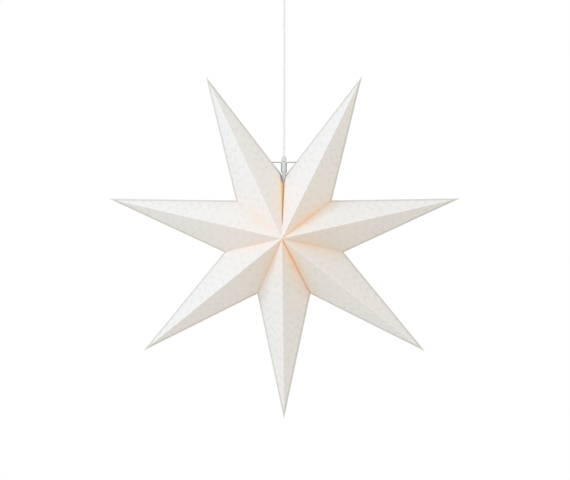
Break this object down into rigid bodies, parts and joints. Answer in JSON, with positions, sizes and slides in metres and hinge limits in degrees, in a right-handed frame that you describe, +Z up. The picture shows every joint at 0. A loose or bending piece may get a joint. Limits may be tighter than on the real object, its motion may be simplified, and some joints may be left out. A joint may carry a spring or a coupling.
{
  "type": "paper star lantern",
  "caption": "Folded white paper star lantern, lit from inside by a screw-in bulb, hung on a straight flex from a ceiling cup and folding like a fan.",
  "frame": {"origin": "on the ceiling, at the centre of the bracket plate the star hangs from", "axes": "the star faces -Y, +Z points up at the ceiling, +X is to the right seen from the front"},
  "size_m": [0.6856, 0.1919, 0.9059],
  "materials": {
    "black_insulator": "gloss",
    "bulb_glass": "satin",
    "ceiling_white": "satin",
    "flex_sheath": "satin",
    "light_chips": "matte",
    "nickel_brass": "satin",
    "paper": "matte",
    "steel_wire": "satin",
    "stud_metal": "satin",
    "white_plastic": "satin",
    "zinc_steel": "satin"
  },
  "bodies": {
    "ceiling": {"ceiling_plate": "zinc_steel", "hook": "zinc_steel", "hook_nut": "zinc_steel", "terminal_block": "white_plastic", "terminal_screws": "nickel_brass", "ceiling_cup": "ceiling_white", "cup_screws": "zinc_steel"},
    "swing_link": {"swing_link": "zinc_steel"},
    "pendant": {"clamp_eye": "zinc_steel", "cord_clamp": "white_plastic", "clamp_screw": "zinc_steel", "flex": "flex_sheath", "cord_grip": "white_plastic", "holder_cap": "white_plastic", "holder_sleeve": "white_plastic", "screw_shell": "nickel_brass", "centre_contact": "nickel_brass"},
    "bulb": {"bulb_tip": "nickel_brass", "bulb_insulator": "black_insulator", "bulb_screw_cap": "nickel_brass", "bulb_collar": "white_plastic", "bulb_globe": "bulb_glass", "light_board": "light_chips"},
    "hanger": {"wire_hanger": "steel_wire"},
    "bottom_point_front_left": {"bottom_point_front_left": "paper"},
    "bottom_point_back_left": {"bottom_point_back_left": "paper"},
    "lower_left_point_front_lower": {"lower_left_point_front_lower": "paper"},
    "lower_left_point_front_upper": {"lower_left_point_front_upper": "paper"},
    "lower_left_point_back_lower": {"lower_left_point_back_lower": "paper"},
    "lower_left_point_back_upper": {"lower_left_point_back_upper": "paper"},
    "left_point_front_lower": {"left_point_front_lower": "paper"},
    "left_point_front_upper": {"left_point_front_upper": "paper"},
    "left_point_back_lower": {"left_point_back_lower": "paper"},
    "left_point_back_upper": {"left_point_back_upper": "paper"},
    "upper_left_point_front_lower": {"upper_left_point_front_lower": "paper"},
    "upper_left_point_front_upper": {"upper_left_point_front_upper": "paper", "stud_post_front": "stud_metal"},
    "upper_left_point_back_lower": {"upper_left_point_back_lower": "paper"},
    "upper_left_point_back_upper": {"upper_left_point_back_upper": "paper", "stud_post_back": "stud_metal"},
    "bottom_point_front_right": {"bottom_point_front_right": "paper"},
    "bottom_point_back_right": {"bottom_point_back_right": "paper"},
    "lower_right_point_front_lower": {"lower_right_point_front_lower": "paper"},
    "lower_right_point_front_upper": {"lower_right_point_front_upper": "paper"},
    "lower_right_point_back_lower": {"lower_right_point_back_lower": "paper"},
    "lower_right_point_back_upper": {"lower_right_point_back_upper": "paper"},
    "right_point_front_lower": {"right_point_front_lower": "paper"},
    "right_point_front_upper": {"right_point_front_upper": "paper"},
    "right_point_back_lower": {"right_point_back_lower": "paper"},
    "right_point_back_upper": {"right_point_back_upper": "paper"},
    "upper_right_point_front_lower": {"upper_right_point_front_lower": "paper"},
    "upper_right_point_front_upper": {"upper_right_point_front_upper": "paper", "stud_ring_front": "stud_metal"},
    "upper_right_point_back_lower": {"upper_right_point_back_lower": "paper"},
    "upper_right_point_back_upper": {"upper_right_point_back_upper": "paper", "stud_ring_back": "stud_metal"}
  },
  "joints": [
    {"name": "swing_front_back", "type": "hinge", "parent": "ceiling", "child": "swing_link", "pos_m": [0, 0, -0.018], "axis": [1, 0, 0], "range_deg": [-6, 6]},
    {"name": "swing_side", "type": "hinge", "parent": "swing_link", "child": "pendant", "pos_m": [0, 0, -0.035], "axis": [0, 1, 0], "range_deg": [-6, 6]},
    {"name": "star_turn", "type": "hinge", "parent": "pendant", "child": "hanger", "pos_m": [0, 0, -0.4021], "axis": [0, 0, 1], "continuous": true},
    {"name": "bulb_screw", "type": "hinge", "parent": "pendant", "child": "bulb", "pos_m": [0, 0, -0.5021], "axis": [0, 0, 1], "range_deg": [0, 900]},
    {"name": "star_fold", "type": "hinge", "parent": "hanger", "child": "bottom_point_front_left", "pos_m": [0, -0.1, -0.55456], "axis": [0, 0.2683, -0.9633], "range_deg": [0, 34.97]},
    {"name": "bottom_outline_left", "type": "hinge", "parent": "bottom_point_front_left", "child": "bottom_point_back_left", "pos_m": [-0.05293, 0, -0.66448], "axis": [-0.2079, 0, 0.9782], "range_deg": [0, 67.05]},
    {"name": "lower_left_valley", "type": "hinge", "parent": "bottom_point_front_left", "child": "lower_left_point_front_lower", "pos_m": [0, -0.1, -0.55456], "axis": [0.3356, -0.6339, 0.6968], "range_deg": [0, 90.83]},
    {"name": "lower_left_ridge", "type": "hinge", "parent": "lower_left_point_front_lower", "child": "lower_left_point_front_upper", "pos_m": [0, -0.1, -0.55456], "axis": [-0.7532, 0.2683, -0.6006], "range_deg": [0, 69.95]},
    {"name": "lower_left_outline_lower", "type": "hinge", "parent": "lower_left_point_front_lower", "child": "lower_left_point_back_lower", "pos_m": [-0.05293, 0, -0.66448], "axis": [-0.8944, 0, -0.4473], "range_deg": [0, 67.05]},
    {"name": "lower_left_outline_upper", "type": "hinge", "parent": "lower_left_point_front_upper", "child": "lower_left_point_back_upper", "pos_m": [-0.11894, 0, -0.5817], "axis": [0.6351, 0, 0.7724], "range_deg": [0, 67.05]},
    {"name": "left_valley", "type": "hinge", "parent": "lower_left_point_front_upper", "child": "left_point_front_lower", "pos_m": [0, -0.1, -0.55456], "axis": [0.754, -0.6339, 0.1721], "range_deg": [0, 90.83]},
    {"name": "left_ridge", "type": "hinge", "parent": "left_point_front_lower", "child": "left_point_front_upper", "pos_m": [0, -0.1, -0.55456], "axis": [-0.9392, 0.2683, 0.2144], "range_deg": [0, 69.95]},
    {"name": "left_outline_lower", "type": "hinge", "parent": "left_point_front_lower", "child": "left_point_back_lower", "pos_m": [-0.11894, 0, -0.5817], "axis": [-0.9074, 0, 0.4203], "range_deg": [0, 67.05]},
    {"name": "left_outline_upper", "type": "hinge", "parent": "left_point_front_upper", "child": "left_point_back_upper", "pos_m": [-0.09538, 0, -0.47849], "axis": [0.9999, 0, -0.015], "range_deg": [0, 67.05]},
    {"name": "upper_left_valley", "type": "hinge", "parent": "left_point_front_upper", "child": "upper_left_point_front_lower", "pos_m": [0, -0.1, -0.55456], "axis": [0.6047, -0.6339, -0.4822], "range_deg": [0, 90.83]},
    {"name": "upper_left_ridge", "type": "hinge", "parent": "upper_left_point_front_lower", "child": "upper_left_point_front_upper", "pos_m": [0, -0.1, -0.55456], "axis": [-0.418, 0.2683, 0.8679], "range_deg": [0, 69.95]},
    {"name": "upper_left_outline_lower", "type": "hinge", "parent": "upper_left_point_front_lower", "child": "upper_left_point_back_lower", "pos_m": [-0.09538, 0, -0.47849], "axis": [-0.2371, 0, 0.9715], "range_deg": [0, 67.05]},
    {"name": "upper_left_outline_upper", "type": "hinge", "parent": "upper_left_point_front_upper", "child": "upper_left_point_back_upper", "pos_m": [0, 0, -0.43256], "axis": [0.6117, 0, -0.7911], "range_deg": [0, 67.05]},
    {"name": "bottom_ridge_right", "type": "hinge", "parent": "hanger", "child": "bottom_point_front_right", "pos_m": [0, -0.1, -0.55456], "axis": [0, -0.2683, 0.9633], "range_deg": [0, 34.97]},
    {"name": "bottom_outline_right", "type": "hinge", "parent": "bottom_point_front_right", "child": "bottom_point_back_right", "pos_m": [0.05293, 0, -0.66448], "axis": [-0.2079, 0, -0.9782], "range_deg": [0, 67.05]},
    {"name": "lower_right_valley", "type": "hinge", "parent": "bottom_point_front_right", "child": "lower_right_point_front_lower", "pos_m": [0, -0.1, -0.55456], "axis": [0.3356, 0.6339, -0.6968], "range_deg": [0, 90.83]},
    {"name": "lower_right_ridge", "type": "hinge", "parent": "lower_right_point_front_lower", "child": "lower_right_point_front_upper", "pos_m": [0, -0.1, -0.55456], "axis": [-0.7532, -0.2683, 0.6006], "range_deg": [0, 69.95]},
    {"name": "lower_right_outline_lower", "type": "hinge", "parent": "lower_right_point_front_lower", "child": "lower_right_point_back_lower", "pos_m": [0.05293, 0, -0.66448], "axis": [-0.8944, 0, 0.4473], "range_deg": [0, 67.05]},
    {"name": "lower_right_outline_upper", "type": "hinge", "parent": "lower_right_point_front_upper", "child": "lower_right_point_back_upper", "pos_m": [0.11894, 0, -0.5817], "axis": [0.6351, 0, -0.7724], "range_deg": [0, 67.05]},
    {"name": "right_valley", "type": "hinge", "parent": "lower_right_point_front_upper", "child": "right_point_front_lower", "pos_m": [0, -0.1, -0.55456], "axis": [0.754, 0.6339, -0.1721], "range_deg": [0, 90.83]},
    {"name": "right_ridge", "type": "hinge", "parent": "right_point_front_lower", "child": "right_point_front_upper", "pos_m": [0, -0.1, -0.55456], "axis": [-0.9392, -0.2683, -0.2144], "range_deg": [0, 69.95]},
    {"name": "right_outline_lower", "type": "hinge", "parent": "right_point_front_lower", "child": "right_point_back_lower", "pos_m": [0.11894, 0, -0.5817], "axis": [-0.9074, 0, -0.4203], "range_deg": [0, 67.05]},
    {"name": "right_outline_upper", "type": "hinge", "parent": "right_point_front_upper", "child": "right_point_back_upper", "pos_m": [0.09538, 0, -0.47849], "axis": [0.9999, 0, 0.015], "range_deg": [0, 67.05]},
    {"name": "upper_right_valley", "type": "hinge", "parent": "right_point_front_upper", "child": "upper_right_point_front_lower", "pos_m": [0, -0.1, -0.55456], "axis": [0.6047, 0.6339, 0.4822], "range_deg": [0, 90.83]},
    {"name": "upper_right_ridge", "type": "hinge", "parent": "upper_right_point_front_lower", "child": "upper_right_point_front_upper", "pos_m": [0, -0.1, -0.55456], "axis": [-0.418, -0.2683, -0.8679], "range_deg": [0, 69.95]},
    {"name": "upper_right_outline_lower", "type": "hinge", "parent": "upper_right_point_front_lower", "child": "upper_right_point_back_lower", "pos_m": [0.09538, 0, -0.47849], "axis": [-0.2371, 0, -0.9715], "range_deg": [0, 67.05]},
    {"name": "upper_right_outline_upper", "type": "hinge", "parent": "upper_right_point_front_upper", "child": "upper_right_point_back_upper", "pos_m": [0, 0, -0.43256], "axis": [0.6117, 0, 0.7911], "range_deg": [0, 67.05]}
  ],
  "couplings": [
    {"joint": "bottom_outline_left", "follows": "star_fold", "ratio": 1.9171},
    {"joint": "lower_left_valley", "follows": "star_fold", "ratio": 2.5973},
    {"joint": "lower_left_ridge", "follows": "star_fold", "ratio": 2},
    {"joint": "lower_left_outline_lower", "follows": "star_fold", "ratio": 1.9171},
    {"joint": "lower_left_outline_upper", "follows": "star_fold", "ratio": 1.9171},
    {"joint": "left_valley", "follows": "star_fold", "ratio": 2.5973},
    {"joint": "left_ridge", "follows": "star_fold", "ratio": 2},
    {"joint": "left_outline_lower", "follows": "star_fold", "ratio": 1.9171},
    {"joint": "left_outline_upper", "follows": "star_fold", "ratio": 1.9171},
    {"joint": "upper_left_valley", "follows": "star_fold", "ratio": 2.5973},
    {"joint": "upper_left_ridge", "follows": "star_fold", "ratio": 2},
    {"joint": "upper_left_outline_lower", "follows": "star_fold", "ratio": 1.9171},
    {"joint": "upper_left_outline_upper", "follows": "star_fold", "ratio": 1.9171},
    {"joint": "bottom_ridge_right", "follows": "star_fold", "ratio": 1},
    {"joint": "bottom_outline_right", "follows": "star_fold", "ratio": 1.9171},
    {"joint": "lower_right_valley", "follows": "star_fold", "ratio": 2.5973},
    {"joint": "lower_right_ridge", "follows": "star_fold", "ratio": 2},
    {"joint": "lower_right_outline_lower", "follows": "star_fold", "ratio": 1.9171},
    {"joint": "lower_right_outline_upper", "follows": "star_fold", "ratio": 1.9171},
    {"joint": "right_valley", "follows": "star_fold", "ratio": 2.5973},
    {"joint": "right_ridge", "follows": "star_fold", "ratio": 2},
    {"joint": "right_outline_lower", "follows": "star_fold", "ratio": 1.9171},
    {"joint": "right_outline_upper", "follows": "star_fold", "ratio": 1.9171},
    {"joint": "upper_right_valley", "follows": "star_fold", "ratio": 2.5973},
    {"joint": "upper_right_ridge", "follows": "star_fold", "ratio": 2},
    {"joint": "upper_right_outline_lower", "follows": "star_fold", "ratio": 1.9171},
    {"joint": "upper_right_outline_upper", "follows": "star_fold", "ratio": 1.9171}
  ]
}
